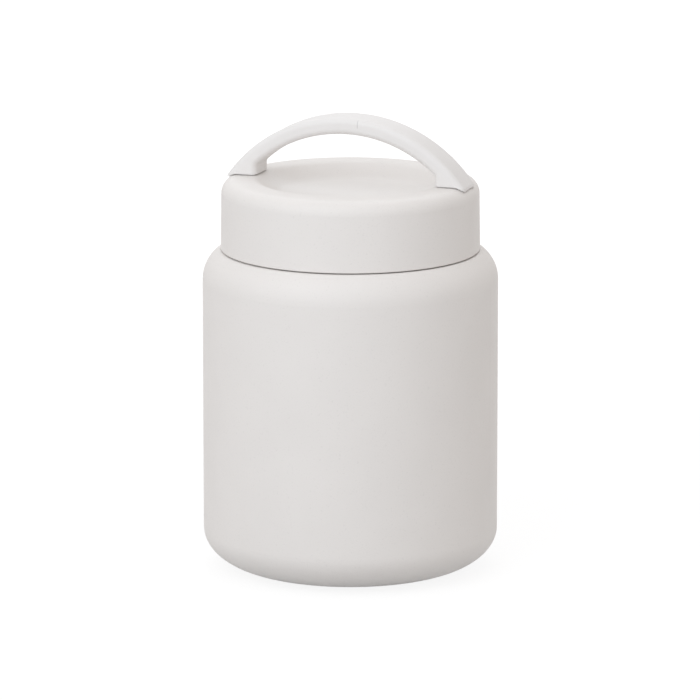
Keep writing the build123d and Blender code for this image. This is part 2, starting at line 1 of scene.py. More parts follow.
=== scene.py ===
# %% [markdown]
# # Dressing an insulated food jar
#
# The jar comes into Blender as a finished set of solids: a coated steel body round a spun
# steel liner, and a screw lid with an arched handle. Their shapes and places are settled.
# This lesson adds what the eye needs: a camera, a studio, the finish of each piece and the
# small marks that its making leaves on it.
#
# The solids arrive through a frame, which knows each piece by name and the body that it
# moves with. Loading it first keeps every later step in the same place and size.

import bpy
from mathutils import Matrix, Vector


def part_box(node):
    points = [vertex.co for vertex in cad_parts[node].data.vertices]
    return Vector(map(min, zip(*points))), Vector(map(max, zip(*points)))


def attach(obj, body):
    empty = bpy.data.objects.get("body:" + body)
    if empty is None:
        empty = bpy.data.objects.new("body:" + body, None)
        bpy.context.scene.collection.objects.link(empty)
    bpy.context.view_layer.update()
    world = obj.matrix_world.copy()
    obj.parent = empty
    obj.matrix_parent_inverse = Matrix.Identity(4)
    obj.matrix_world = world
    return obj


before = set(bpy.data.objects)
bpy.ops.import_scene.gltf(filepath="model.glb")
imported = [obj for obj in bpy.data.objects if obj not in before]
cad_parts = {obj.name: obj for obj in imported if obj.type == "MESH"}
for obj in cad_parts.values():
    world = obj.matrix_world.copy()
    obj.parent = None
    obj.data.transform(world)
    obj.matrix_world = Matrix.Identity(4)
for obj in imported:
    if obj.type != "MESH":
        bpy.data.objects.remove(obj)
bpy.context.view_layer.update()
print("pieces:", ", ".join(sorted(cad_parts)))

# %% [markdown]
# ## Words for the sizes
#
# Blender counts in metres, and a jar is easier to think of in millimetres. One named value
# turns the one into the other. The heights and radii below are read off the frame where a
# piece tells them, so the finishes follow the jar if its size is ever changed.

# %% Sizes read off the jar
from math import cos, pi, radians, sin

import bmesh
import bpy
from mathutils import Vector

MM = 0.001


def top_of(node):
    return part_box(node)[1].z


def radius_of(node):
    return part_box(node)[1].x


jar_radius = radius_of("outer_shell")
jar_top = top_of("inner_wall")
liner_joint = top_of("inner_bottom")
lid_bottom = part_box("lid_shell")[0].z
print(f"jar {2 * jar_radius / MM:.1f} mm across, mouth {jar_top / MM:.1f} mm up")

# %% [markdown]
# ## The camera
#
# A jar like this is shown from a little above, with a long lens from well back, so that its
# sides stay straight and the dish in its lid opens to the eye. The camera is placed by an
# angle round the jar, an angle above the table and a distance, then turned to a point on
# the jar's axis. A long lens from two metres gives almost the flat look of a drawing.

# %% Place the camera
CAMERA_TURN = radians(18.8)
CAMERA_RISE = radians(12.33)
CAMERA_DISTANCE = 2.105
AIM_HEIGHT = 71.57 * MM
LENS = 332.4
SHIFT_LEFT = 0.0006             # share of the picture by which the jar stands right of its middle


def out_from_jar(turn, rise, distance, height=AIM_HEIGHT):
    """A point seen from the jar's axis at these angles. Turn 0 lies in front, at -Y."""
    way = Vector((sin(turn) * cos(rise), -cos(turn) * cos(rise), sin(rise)))
    return Vector((0, 0, height)) + way * distance


camera = bpy.data.objects.new("camera", bpy.data.cameras.new("camera"))
bpy.context.scene.collection.objects.link(camera)
camera.data.lens = LENS
camera.data.shift_x = -SHIFT_LEFT
camera.location = out_from_jar(CAMERA_TURN, CAMERA_RISE, CAMERA_DISTANCE)
aim = Vector((0, 0, AIM_HEIGHT)) - camera.location
camera.rotation_euler = aim.to_track_quat("-Z", "Y").to_euler()
bpy.context.scene.camera = camera
print("camera at", [round(v, 3) for v in camera.location])

# %% [markdown]
# ## Small tools for node trees
#
# Every finish below is a tree of nodes. Writing each node out takes four or five lines, and
# the trees would drown in them. Four short tools say the same in one line each: add a node
# with its sockets filled, do a sum, mix two colours, and stretch a grey value to new ends.

# %% Node tools
def add_node(tree, kind, sockets=None, **settings):
    """One node. A socket takes a plain value, or another node's output to be wired in."""
    node = tree.nodes.new("ShaderNode" + kind)
    for name, value in settings.items():
        setattr(node, name, value)
    for name, value in (sockets or {}).items():
        if isinstance(value, bpy.types.NodeSocket):
            tree.links.new(value, node.inputs[name])
        else:
            node.inputs[name].default_value = value
    return node


def calculate(tree, operation, *values):
    numbered = dict(enumerate(values))
    return add_node(tree, "Math", numbered, operation=operation).outputs[0]


def mix_colours(tree, amount, first, second):
    """first where amount is 0, second where it is 1. Sockets 6 and 7 are the colours."""
    sockets = {0: amount, 6: first, 7: second}
    return add_node(tree, "Mix", sockets, data_type="RGBA").outputs[2]


def stretch(tree, value, low, high, to_low=0.0, to_high=1.0):
    sockets = {0: value, 1: low, 2: high, 3: to_low, 4: to_high}
    return add_node(tree, "MapRange", sockets, clamp=True).outputs[0]


def paint(red, green, blue):
    return (red, green, blue, 1.0)


print("node tools:", [tool.__name__ for tool in (add_node, calculate, mix_colours, stretch)])

# %% [markdown]
# ## The studio
#
# The jar stands on a pale sweep under soft boxes. The sweep has two jobs that pull apart:
# it should look white, and it shouldn't throw so much light back up that the jar's foot
# glows. The Light Path node settles this. Rays that the eye follows, straight or by way of
# a mirror, find a white floor that keeps a soft shadow. Rays that only carry light find a
# greyer one.

# %% Tell the eye's rays from the light's
def seen_by_eye(tree):
    """1 for a ray that comes straight from the camera, off a mirror or through glass."""
    path = add_node(tree, "LightPath")
    seen = calculate(tree, "ADD", path.outputs["Is Camera Ray"], path.outputs["Is Glossy Ray"])
    seen = calculate(tree, "ADD", seen, path.outputs["Is Transmission Ray"])
    return calculate(tree, "MINIMUM", seen, 1.0)


def empty_tree(owner):
    owner.use_nodes = True
    owner.node_tree.nodes.clear()
    return owner.node_tree


print("white for rays of the kinds: camera, glossy, transmission")

# %% Lay the floor
FLOOR_RADIUS = 12.0
FLOOR_SIDES = 96

floor_mesh = bpy.data.meshes.new("studio_floor")
disc = bmesh.new()
bmesh.ops.create_circle(disc, cap_ends=True, segments=FLOOR_SIDES, radius=FLOOR_RADIUS)
disc.to_mesh(floor_mesh)
disc.free()
floor = bpy.data.objects.new("studio_floor", floor_mesh)
bpy.context.scene.collection.objects.link(floor)
print("floor", 2 * FLOOR_RADIUS, "m across")

# %% Paint the floor
FLOOR_BOUNCE = 0.66             # how pale the floor is to the light that falls on the jar
SHADOW_KEPT = 0.15              # share of the floor's white that a shadow can take away
WHITE_MARGIN = 0.03             # keeps the open floor white where the lamps fall short of it
SHADOW_REACH = 0.25             # metres from the jar at which the floor starts to turn white
PLAIN_WHITE_FROM = 0.6          # and at which it is plain white

floor_paint = bpy.data.materials.new("pale_sweep")
tree = empty_tree(floor_paint)
place = add_node(tree, "TexCoord").outputs["Object"]
from_jar = add_node(tree, "VectorMath", {0: place}, operation="LENGTH").outputs["Value"]
least = 1 - SHADOW_KEPT + WHITE_MARGIN
glow = stretch(tree, from_jar, SHADOW_REACH, PLAIN_WHITE_FROM, least, 1.0)
white = add_node(tree, "Emission", {"Color": paint(1, 1, 1), "Strength": glow})
shaded = add_node(tree, "BsdfDiffuse", {"Color": paint(SHADOW_KEPT, SHADOW_KEPT, SHADOW_KEPT)})
shown = add_node(tree, "AddShader", {0: white.outputs[0], 1: shaded.outputs[0]})
grey = paint(FLOOR_BOUNCE, FLOOR_BOUNCE, FLOOR_BOUNCE)
bounce = add_node(tree, "BsdfDiffuse", {"Color": grey})
both = {0: seen_by_eye(tree), 1: bounce.outputs[0], 2: shown.outputs[0]}
choice = add_node(tree, "MixShader", both)
add_node(tree, "OutputMaterial", {"Surface": choice.outputs[0]})
floor_mesh.materials.append(floor_paint)
print(f"floor: {FLOOR_BOUNCE} to the light, {least:.2f} to 1 to the eye before the lamps")

# %% Light the room
AMBIENT = paint(0.65, 0.613, 0.590)    # the light that comes from all round

world = bpy.data.worlds.new("studio")
bpy.context.scene.world = world
tree = empty_tree(world)
room = add_node(tree, "Background", {"Color": AMBIENT})
backdrop = add_node(tree, "Background", {"Color": paint(1, 1, 1)})
both = {0: seen_by_eye(tree), 1: room.outputs[0], 2: backdrop.outputs[0]}
choice = add_node(tree, "MixShader", both)
add_node(tree, "OutputWorld", {"Surface": choice.outputs[0]})
bpy.context.scene.view_settings.view_transform = "Standard"
print("room light", [round(part, 3) for part in AMBIENT[:3]], "and a white background")

# %% [markdown]
# ## Soft boxes
#
# Big, near lamps make soft edges. The key stands to the left of the camera and above it, so
# the jar is palest left of its middle and falls away to the right. A weak one beside the
# camera opens the shadows, a top box fills the dish of the lid, and one behind the jar
# lights the far half of the rim and the back of the arch. Each is set by the same two
# angles as the camera, counted from the camera's own side.

# %% Hang the lamps
LAMP_DISTANCE = 1.1
BOX_WIDTH = 0.8


def soft_box(name, turn, rise, watts, tint):
    """A square lamp that faces the jar. Turn is counted from the camera, to its right."""
    light = bpy.data.lights.new(name, "AREA")
    light.size = BOX_WIDTH
    light.energy = watts
    light.color = tint
    lamp = bpy.data.objects.new(name, light)
    bpy.context.scene.collection.objects.link(lamp)
    lamp.location = out_from_jar(CAMERA_TURN + radians(turn), radians(rise), LAMP_DISTANCE)
    facing = Vector((0, 0, AIM_HEIGHT)) - lamp.location
    lamp.rotation_euler = facing.to_track_quat("-Z", "Y").to_euler()
    lamp.visible_camera = False
    print(f"{name}: {watts} W")


LAMP_TINT = (0.92, 1.0, 1.08)

soft_box("key_box", turn=-38, rise=32, watts=3.4, tint=LAMP_TINT)
soft_box("front_box", turn=5, rise=12, watts=0.8, tint=LAMP_TINT)
soft_box("top_box", turn=0, rise=60, watts=1.6, tint=LAMP_TINT)
soft_box("back_box", turn=180, rise=48, watts=2.2, tint=LAMP_TINT)

# %% [markdown]
# ## Patterns that finishes share
#
# A finish looks real when it varies at the sizes at which the real one does: a slow drift of
# tone over centimetres, a grain of tenths of a millimetre, and wear just where a hand or a
# table rubs. Noise gives the first two. For wear, the Bevel node bends the surface's normal
# as if each edge were rounded, and where the bent normal leaves the true one there is an
# edge. Multiplying that by noise breaks it into rubs instead of an even stripe.

# %% Noise
NOISE_SPAN = (0.3, 0.7)         # most of a noise's values lie between these


def place_on(tree):
    """Where a point lies on the resting jar, in metres. It moves with its piece."""
    return add_node(tree, "TexCoord").outputs["Object"]


def noise(tree, place, size, detail=2.0, roughness=0.5, **more):
    """Even noise whose patches are about size metres wide."""
    sockets = {"Vector": place, "Scale": 1 / size, "Detail": detail, "Roughness": roughness}
    return add_node(tree, "TexNoise", sockets | more).outputs["Fac"]


print("noise runs from about", *NOISE_SPAN)

# %% Lines that run round the axis
LINE_BREAKS = 0.6               # how much the finer noise breaks up a spun line


def height_and_radius(tree, place):
    """A point's height, its distance from the jar's axis, and its direction from it."""
    flat = add_node(tree, "VectorMath", {0: place, 1: (1, 1, 0)}, operation="MULTIPLY")
    length = add_node(tree, "VectorMath", {0: flat.outputs[0]}, operation="LENGTH")
    way = add_node(tree, "VectorMath", {0: flat.outputs[0]}, operation="NORMALIZE")
    height = add_node(tree, "SeparateXYZ", {0: place}).outputs["Z"]
    return height, length.outputs["Value"], way.outputs[0]


def spun_lines(tree, place, line, run):
    """Fine lines that run round the axis, line metres apart. run sets how short they are."""
    height, radius, way = height_and_radius(tree, place)
    round_it = add_node(tree, "VectorMath", {0: way, 3: run}, operation="SCALE").outputs[0]
    up = calculate(tree, "DIVIDE", height, line)
    up = add_node(tree, "CombineXYZ", {"Z": up}).outputs[0]
    where = add_node(tree, "VectorMath", {0: round_it, 1: up}, operation="ADD").outputs[0]
    across = calculate(tree, "DIVIDE", radius, line)
    sockets = {"Vector": where, "W": across, "Scale": 1.0}
    sockets |= {"Detail": 3.0, "Roughness": LINE_BREAKS}
    return add_node(tree, "TexNoise", sockets, noise_dimensions="4D").outputs["Fac"]


print("spun lines: noise in four dimensions, broken up by", LINE_BREAKS)

# %% Rubbed edges
EDGE_STARTS = 0.985             # how alike the two normals are where wear starts
EDGE_FULL = 0.93                # and where it is full
EDGE_SAMPLES = 6
RUB_SPOTS = (0.42, 0.62)        # noise below the first spares an edge, above the second rubs it


def rubbed_edges(tree, place, width, patch):
    """1 along an edge's rubbed spots, 0 elsewhere."""
    rounded = add_node(tree, "Bevel", {"Radius": width}, samples=EDGE_SAMPLES).outputs[0]
    straight = add_node(tree, "NewGeometry").outputs["Normal"]
    alike = add_node(tree, "VectorMath", {0: rounded, 1: straight}, operation="DOT_PRODUCT")
    edge = stretch(tree, alike.outputs["Value"], EDGE_STARTS, EDGE_FULL)
    spots = stretch(tree, noise(tree, place, patch, detail=4.0), *RUB_SPOTS)
    return calculate(tree, "MULTIPLY", edge, spots)


print("wear lies where normals agree less than", EDGE_STARTS)

# %% Start and end of a finish
def new_finish(name, sockets):
    """A material with its main shader. Values that are the same all over go in sockets."""
    material = bpy.data.materials.new(name)
    material.use_nodes = True
    shader = material.node_tree.nodes["Principled BSDF"]
    for socket, value in sockets.items():
        shader.inputs[socket].default_value = value
    return material, material.node_tree, shader


def bumps(tree, *layers):
    """Bump nodes in a row. Each layer is a grey pattern and its height in metres."""
    normal = None
    for pattern, height in layers:
        sockets = {"Height": pattern, "Distance": height, "Strength": 1.0}
        if normal:
            sockets["Normal"] = normal
        normal = add_node(tree, "Bump", sockets).outputs[0]
    return normal


def finish_with(tree, shader, **patterns):
    """Wires patterns to the main shader: colour, roughness, metal or normal."""
    names = {
        "colour": "Base Color",
        "roughness": "Roughness",
        "metal": "Metallic",
        "normal": "Normal",
    }
    for word, pattern in patterns.items():
        tree.links.new(pattern, shader.inputs[names[word]])


print("finish tools:", [tool.__name__ for tool in (new_finish, bumps, finish_with)])

# %% [markdown]
# ## The soft coat on body and lid
#
# Body and lid wear the same baked powder coat, off-white and dry to the touch. Sprayed
# powder melts into a faint orange peel, about a millimetre from crest to crest, with a finer
# tooth on it that kills the shine. Its tone drifts a little where the layer is thicker. On
# the body the coat stops at the ledge: the neck is bare steel, so that the thread runs on
# metal, and the coat's edge there is a masked line that wavers by a tenth of a millimetre.

# %% Patterns of the coat
COAT = (0.80, 0.775, 0.752)
COAT_DRIFT = 0.012              # how far the tone drifts up and down
COAT_GLOSS = 0.5
COAT_CLOUD = 24 * MM
COAT_GLOSS_CLOUD = 9 * MM
COAT_DULL = (0.52, 0.60)        # roughness, from least to most
SPECK = 0.6 * MM
SPECK_SPAN = (0.62, 0.76)       # only the peaks of the noise turn into specks
SPECK_SHARE = 0.6
SPECK_SHADE = 0.92
COAT_RUB_WIDTH = 0.5 * MM
COAT_RUB_PATCH = 3 * MM
COAT_RUB_SHARE = 0.5
COAT_RUB_SHADE = 0.86
COAT_RUB_POLISH = 0.14          # how much smoother a rubbed edge is
PEEL = 1.3 * MM
PEEL_HEIGHT = 0.018 * MM
TOOTH = 0.22 * MM
TOOTH_HEIGHT = 0.006 * MM


def shade(colour, factor):
    return paint(*(min(1.0, part * factor) for part in colour))


def coat_patterns(tree, place, colour, drift):
    """Colour and roughness of a powder coat, and its two layers of bumps."""
    cloud = stretch(tree, noise(tree, place, COAT_CLOUD, detail=3.0), *NOISE_SPAN)
    tone = mix_colours(tree, cloud, shade(colour, 1 - drift), shade(colour, 1 + drift))
    speck = noise(tree, place, SPECK, detail=1.0)
    speck = stretch(tree, speck, *SPECK_SPAN, 0.0, SPECK_SHARE)
    tone = mix_colours(tree, speck, tone, shade(colour, SPECK_SHADE))
    rub = rubbed_edges(tree, place, COAT_RUB_WIDTH, COAT_RUB_PATCH)
    worn = calculate(tree, "MULTIPLY", rub, COAT_RUB_SHARE)
    tone = mix_colours(tree, worn, tone, shade(colour, COAT_RUB_SHADE))
    dull = noise(tree, place, COAT_GLOSS_CLOUD, detail=4.0)
    dull = stretch(tree, dull, *NOISE_SPAN, *COAT_DULL)
    polish = calculate(tree, "MULTIPLY", rub, COAT_RUB_POLISH)
    dull = calculate(tree, "SUBTRACT", dull, polish)
    peel = noise(tree, place, PEEL, detail=2.0)
    tooth = noise(tree, place, TOOTH, detail=2.0)
    return tone, dull, [(peel, PEEL_HEIGHT), (tooth, TOOTH_HEIGHT)]


print(f"coat: peel {PEEL / MM:.1f} mm, tooth {TOOTH / MM:.2f} mm from crest to crest")

# %% Powder coat for the lid
def powder_coat(name, colour, drift):
    material, tree, shader = new_finish(name, {"Specular IOR Level": COAT_GLOSS})
    tone, dull, layers = coat_patterns(tree, place_on(tree), colour, drift)
    finish_with(tree, shader, colour=tone, roughness=dull, normal=bumps(tree, *layers))
    return material


lid_coat = powder_coat("powder_coat_lid", COAT, COAT_DRIFT)
print("lid:", lid_coat.name, COAT)

# %% Powder coat with a bare neck
NECK_STEEL = (0.47, 0.465, 0.455)
LINE_SHADES = (0.86, 1.14)      # darkest and palest line of spun steel
NECK_GROOVE = 0.006 * MM
NECK_LINE = 0.2 * MM
NECK_LINE_RUN = 2.5
NECK_DULL = (0.24, 0.36)
WAVER = 0.06 * MM               # how far the coat's edge strays
WAVER_LENGTH = 6 * MM
EDGE_BLUR = 0.05 * MM
COAT_THICKNESS = 0.06 * MM
COAT_EDGE = lid_bottom + 0.5 * MM
NECK_EDGE = radius_of("inner_wall") * 0.9
NECK_EDGE_BLUR = 0.4 * MM


def lined_tone(tree, lines, colour):
    dark, pale = LINE_SHADES
    return mix_colours(tree, lines, shade(colour, dark), shade(colour, pale))


def coat_with_bare_neck(name, colour, drift):
    material, tree, shader = new_finish(name, {"Specular IOR Level": COAT_GLOSS})
    place = place_on(tree)
    tone, dull, layers = coat_patterns(tree, place, colour, drift)
    height, radius, _ = height_and_radius(tree, place)
    waver = stretch(tree, noise(tree, place, WAVER_LENGTH), *NOISE_SPAN, -WAVER, WAVER)
    edge = calculate(tree, "ADD", height, waver)
    above = stretch(tree, edge, COAT_EDGE, COAT_EDGE + EDGE_BLUR)
    inside = stretch(tree, radius, NECK_EDGE + NECK_EDGE_BLUR, NECK_EDGE)
    bare = calculate(tree, "MULTIPLY", above, inside)
    lines = spun_lines(tree, place, NECK_LINE, NECK_LINE_RUN)
    metal_tone = lined_tone(tree, lines, NECK_STEEL)
    metal_dull = stretch(tree, lines, *NOISE_SPAN, *NECK_DULL)
    tone = mix_colours(tree, bare, tone, metal_tone)
    dull = add_node(tree, "Mix", {0: bare, 2: dull, 3: metal_dull}).outputs[0]
    coated = calculate(tree, "SUBTRACT", 1.0, bare)
    layers = [(calculate(tree, "MULTIPLY", pattern, coated), rise) for pattern, rise in layers]
    layers.append((calculate(tree, "MULTIPLY", lines, bare), NECK_GROOVE))
    layers.append((coated, COAT_THICKNESS))
    normal = bumps(tree, *layers)
    finish_with(tree, shader, colour=tone, roughness=dull, metal=bare, normal=normal)
    return material


body_coat = coat_with_bare_neck("powder_coat_body", COAT, COAT_DRIFT)
print("the coat ends", round(COAT_EDGE / MM, 2), "mm up")

# %% [markdown]
# ## Moulded plastic
#
# The handle and the inner cap are injection moulded. The tool's spark-eroded face leaves an
# even, fine grain on the handle, and the melt leaves slow flow shades. The inner cap is
# plain polypropylene: smoother, a touch see-through, so it gets a little light under its
# skin. Just off the middle of the arch, a short witness line on its front shows where a
# moving part of the tool ended.

# %% Patterns of a moulded face
FLOW = 16 * MM                  # slow shades that the melt leaves
FLOW_SWIRL = 0.6
FLOW_SHADES = (0.988, 1.01)
MOULD_RUB_WIDTH = 0.4 * MM
MOULD_RUB_PATCH = 2.5 * MM
MOULD_RUB_SHARE = 0.4
MOULD_RUB_SHADE = 0.88
MOULD_GLOSS_CLOUD = 6 * MM
SINK = 3 * MM                   # soft unevenness where the plastic shrank
SINK_DEPTH = 0.012 * MM


def moulded_patterns(tree, place, colour, grain, grain_height, dull_span):
    """Colour, roughness and normal of a moulded face with a fine grain."""
    flow = noise(tree, place, FLOW, detail=4.0, Distortion=FLOW_SWIRL)
    flow = stretch(tree, flow, *NOISE_SPAN)
    dark, pale = FLOW_SHADES
    tone = mix_colours(tree, flow, shade(colour, dark), shade(colour, pale))
    rub = rubbed_edges(tree, place, MOULD_RUB_WIDTH, MOULD_RUB_PATCH)
    worn = calculate(tree, "MULTIPLY", rub, MOULD_RUB_SHARE)
    tone = mix_colours(tree, worn, tone, shade(colour, MOULD_RUB_SHADE))
    dull = noise(tree, place, MOULD_GLOSS_CLOUD, detail=3.0)
    dull = stretch(tree, dull, *NOISE_SPAN, *dull_span)
    fine = noise(tree, place, grain, detail=2.0, roughness=0.6)
    slow = noise(tree, place, SINK, detail=1.0)
    return tone, dull, bumps(tree, (slow, SINK_DEPTH), (fine, grain_height))


print(f"moulded face: flow shades {FLOW / MM:.0f} mm wide, sinks {SINK / MM:.0f} mm")

# %% Handle with its witness line
HANDLE_COLOUR = (0.81, 0.795, 0.783)
HANDLE_GLOSS = 0.4
WITNESS_X = 4.5 * MM
WITNESS_WIDTH = 0.2 * MM
WITNESS_DROP = 3.2 * MM         # how far it comes down from the top of the arch
WITNESS_FRONT = 5.2 * MM        # how far in front of the arch's middle it starts
WITNESS_FADE_DOWN = 0.5 * MM
WITNESS_FADE_BACK = 1.0 * MM
WITNESS_SHARE = 0.5
WITNESS_SHADE = 0.6


def handle_plastic():
    material, tree, shader = new_finish("moulded_handle", {"Specular IOR Level": HANDLE_GLOSS})
    place = place_on(tree)
    tone, dull, normal = moulded_patterns(
        tree, place, HANDLE_COLOUR, grain=0.35 * MM, grain_height=0.012 * MM, dull_span=(0.5, 0.58)
    )
    parts = add_node(tree, "SeparateXYZ", {0: place}).outputs
    off_line = calculate(tree, "SUBTRACT", parts["X"], WITNESS_X)
    off_line = calculate(tree, "ABSOLUTE", off_line)
    line = stretch(tree, off_line, WITNESS_WIDTH, WITNESS_WIDTH / 2)
    line_end = top_of("handle") - WITNESS_DROP
    high = stretch(tree, parts["Z"], line_end, line_end + WITNESS_FADE_DOWN)
    front = stretch(tree, parts["Y"], -WITNESS_FRONT, -WITNESS_FRONT - WITNESS_FADE_BACK)
    line = calculate(tree, "MULTIPLY", line, calculate(tree, "MULTIPLY", high, front))
    line = calculate(tree, "MULTIPLY", line, WITNESS_SHARE)
    tone = mix_colours(tree, line, tone, shade(HANDLE_COLOUR, WITNESS_SHADE))
    finish_with(tree, shader, colour=tone, roughness=dull, normal=normal)
    return material


handle_finish = handle_plastic()
print("handle:", handle_finish.name, HANDLE_COLOUR)

# %% Inner cap
CAP_COLOUR = (0.72, 0.71, 0.695)
CAP_UNDER_SKIN = 0.12
CAP_LIGHT_GOES_IN = (1.6 * MM, 1.4 * MM, 1.2 * MM)


def cap_plastic():
    fixed = {
        "Subsurface Weight": CAP_UNDER_SKIN,
        "Subsurface Radius": CAP_LIGHT_GOES_IN,
        "Subsurface Scale": 1.0,
    }
    material, tree, shader = new_finish("moulded_cap", fixed)
    tone, dull, normal = moulded_patterns(
        tree, place_on(tree), CAP_COLOUR, grain=0.5 * MM, grain_height=0.003 * MM,
        dull_span=(0.36, 0.46),
    )
    finish_with(tree, shader, colour=tone, roughness=dull, normal=normal)
    return material


cap_finish = cap_plastic()
print("inner cap:", cap_finish.name, CAP_COLOUR)

# %% [markdown]
# ## Steel
#
# The liner was spun and then polished with a belt while it turned, so fine lines run round
# it and its highlights stretch across them. Noise in four dimensions draws them: two follow
# the way round the axis, one the height and one the radius, so that lines stay round both
# on the wall and on the floor. The pressed pieces under the jar are duller, and the screws
# were turned, then plated.
#
# A pure metal shows only what it mirrors, and deep in the jar that came out almost black. So
# the liner is set to about half metal and half satin, which real steel isn't. It is a choice
# for the eye and no measured value. The bare neck stays pure metal, in a darker steel, to
# stand out from a white room.

# %% Spun and pressed steel
STEEL = (0.60, 0.59, 0.575)
PRESSED_STEEL = (0.55, 0.545, 0.54)
LINER_METAL = 0.55
STEEL_CLOUD = 14 * MM
STEEL_CLOUD_SHARE = 0.2
STEEL_CLOUD_SHADE = 0.88
ACROSS_THE_LINES = 0.55         # how much a highlight stretches across the lines
DULLER, SHINIER = 0.06, 0.05    # how far the lines move the roughness up and down


def spun_steel(name, colour, line, run, dull, groove, metal=1.0):
    fixed = {"Metallic": metal, "Anisotropic": ACROSS_THE_LINES}
    material, tree, shader = new_finish(name, fixed)
    place = place_on(tree)
    lines = spun_lines(tree, place, line, run)
    cloud = stretch(tree, noise(tree, place, STEEL_CLOUD, detail=3.0), *NOISE_SPAN)
    tone = lined_tone(tree, lines, colour)
    cloud = calculate(tree, "MULTIPLY", cloud, STEEL_CLOUD_SHARE)
    tone = mix_colours(tree, cloud, tone, shade(colour, STEEL_CLOUD_SHADE))
    rough = stretch(tree, lines, *NOISE_SPAN, dull - SHINIER, dull + DULLER)
    round_axis = add_node(tree, "Tangent", direction_type="RADIAL", axis="Z").outputs[0]
    tree.links.new(round_axis, shader.inputs["Tangent"])
    normal = bumps(tree, (lines, groove))
    finish_with(tree, shader, colour=tone, roughness=rough, normal=normal)
    return material


liner_steel = spun_steel(
    "spun_liner", STEEL, line=0.16 * MM, run=1.6, dull=0.3, groove=0.002 * MM, metal=LINER_METAL
)
pressed_steel = spun_steel(
    "pressed_base", PRESSED_STEEL, line=0.3 * MM, run=2.0, dull=0.4, groove=0.006 * MM
)
print("steels:", liner_steel.name, pressed_steel.name)

# %% Plated screws
PLATED_STEEL = (0.58, 0.58, 0.56)
PLATE_CLOUD = 2 * MM
PLATE_CLOUD_SPAN = (0.35, 0.65)
PLATE_SHADES = (0.9, 1.1)
PLATE_DULL = (0.26, 0.4)
PIT = 0.15 * MM
PIT_DEPTH = 0.003 * MM


def plated_steel(name, colour):
    material, tree, shader = new_finish(name, {"Metallic": 1.0})
    place = place_on(tree)
    cloud = stretch(tree, noise(tree, place, PLATE_CLOUD, detail=5.0), *PLATE_CLOUD_SPAN)
    dark, pale = PLATE_SHADES
    tone = mix_colours(tree, cloud, shade(colour, dark), shade(colour, pale))
    rough = stretch(tree, cloud, 0.0, 1.0, *PLATE_DULL)
    pits = noise(tree, place, PIT, detail=3.0)
    normal = bumps(tree, (pits, PIT_DEPTH))
    finish_with(tree, shader, colour=tone, roughness=rough, normal=normal)
    return material


screw_steel = plated_steel("plated_screws", PLATED_STEEL)
print("screws:", screw_steel.name, PLATED_STEEL)

# %% [markdown]
# ## Silicone
#
# The gasket is milky silicone: light goes a little way into it, and it picks up dust. The
# pad that the jar stands on is a greyer, duller silicone with a matt moulded face. Both are
# one recipe with other numbers.

# %% Gasket and pad
LIGHT_GOES_IN = (2 * MM, 1.8 * MM, 1.6 * MM)
DUST = 0.35 * MM
DUST_SPAN = (0.7, 0.78)
DUST_SHARE = 0.6
DUST_SHADE = 0.85
SILICONE_CLOUD = 5 * MM
SILICONE_SHADES = (0.96, 1.03)
SILICONE_SKIN_HEIGHT = 0.004 * MM
DUST_SHEEN = 0.15
DUST_SHEEN_SPREAD = 0.6
DULL_SPREAD = 0.05
MILKY = (0.80, 0.80, 0.775)
GREY = (0.52, 0.51, 0.50)


def silicone(name, colour, under_skin, dull, grain):
    """A rubbery skin, a little see-through, with dust on it."""
    fixed = {
        "Subsurface Weight": under_skin,
        "Subsurface Radius": LIGHT_GOES_IN,
        "Subsurface Scale": 1.0,
        "Sheen Weight": DUST_SHEEN,
        "Sheen Roughness": DUST_SHEEN_SPREAD,
    }
    material, tree, shader = new_finish(name, fixed)
    place = place_on(tree)
    cloud = stretch(tree, noise(tree, place, SILICONE_CLOUD, detail=3.0), *NOISE_SPAN)
    dark, pale = SILICONE_SHADES
    tone = mix_colours(tree, cloud, shade(colour, dark), shade(colour, pale))
    dust = noise(tree, place, DUST, detail=1.0)
    dust = stretch(tree, dust, *DUST_SPAN, 0.0, DUST_SHARE)
    tone = mix_colours(tree, dust, tone, shade(colour, DUST_SHADE))
    rough = stretch(tree, cloud, 0.0, 1.0, dull - DULL_SPREAD, dull + DULL_SPREAD)
    skin = noise(tree, place, grain, detail=2.0)
    normal = bumps(tree, (skin, SILICONE_SKIN_HEIGHT))
    finish_with(tree, shader, colour=tone, roughness=rough, normal=normal)
    return material


gasket_silicone = silicone("milky_silicone", MILKY, under_skin=0.3, dull=0.42, grain=0.8 * MM)
pad_silicone = silicone("matt_silicone", GREY, under_skin=0.05, dull=0.68, grain=0.25 * MM)
print("silicones:", gasket_silicone.name, pad_silicone.name)

# %% [markdown]
# ## What lies inside the walls
#
# These pieces are seen only when the jar is taken apart, and each still has a finish of its
# own: copper foil, creased from its wrapping; a sintered getter, all pores, with painted
# shade in their hollows; a bead of dark solder glass with bubbles; and the lid's foam, whose
# cells Voronoi noise draws well, because foam cells grow until they meet, as Voronoi cells
# do. The foam's cells, too, are painted darker in their hollows as painted shade.

# %% Creased foil
TARNISH = 11 * MM
TARNISH_SPAN = (0.35, 0.7)
FOIL_DULL = (0.2, 0.42)
WRINKLE = 1.2 * MM
WRINKLE_HEIGHT = 0.01 * MM
CREASE = 9 * MM
CREASE_WIDTH = 0.08             # as a share of a crease's own size
CREASE_HEIGHT = 0.05 * MM
BRIGHT_COPPER = paint(0.86, 0.50, 0.35)
TARNISHED_COPPER = paint(0.62, 0.33, 0.22)


